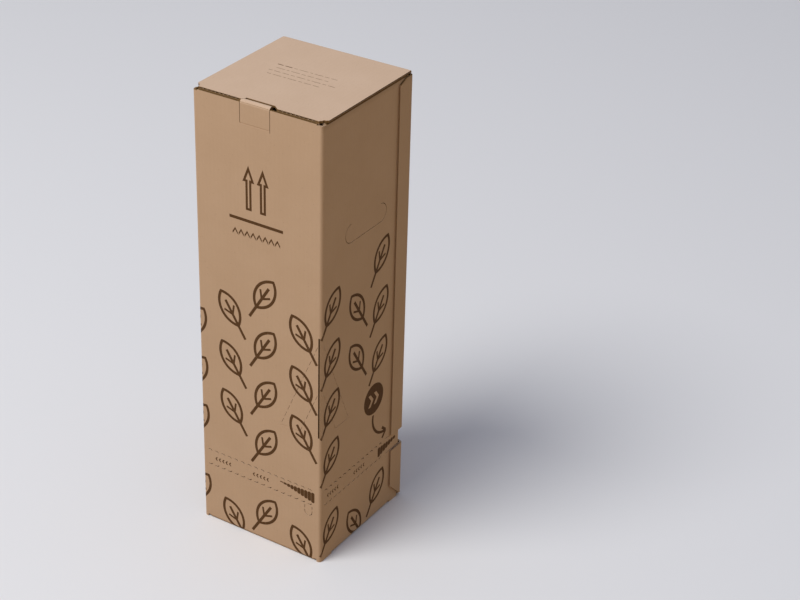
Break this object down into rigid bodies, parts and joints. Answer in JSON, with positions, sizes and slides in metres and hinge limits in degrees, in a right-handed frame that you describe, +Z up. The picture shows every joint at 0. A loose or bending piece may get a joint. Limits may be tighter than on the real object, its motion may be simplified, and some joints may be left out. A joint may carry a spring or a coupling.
{
  "type": "tall corrugated shipping carton",
  "caption": "Tall square carton of brown corrugated board, closed by a tuck-in lid and a lock tab, with a tear strip near its foot and a hand hole in each side.",
  "frame": {"origin": "middle of the carton's bounding box, on the floor", "axes": "+Z up, -Y out of the front panel with the lock tab, +X out of the side that carries the glue flap"},
  "size_m": [0.207, 0.207, 0.68],
  "materials": {
    "board": "matt brown kraft paper"
  },
  "bodies": {
    "root": {"carton": "board"}
  },
  "joints": []
}
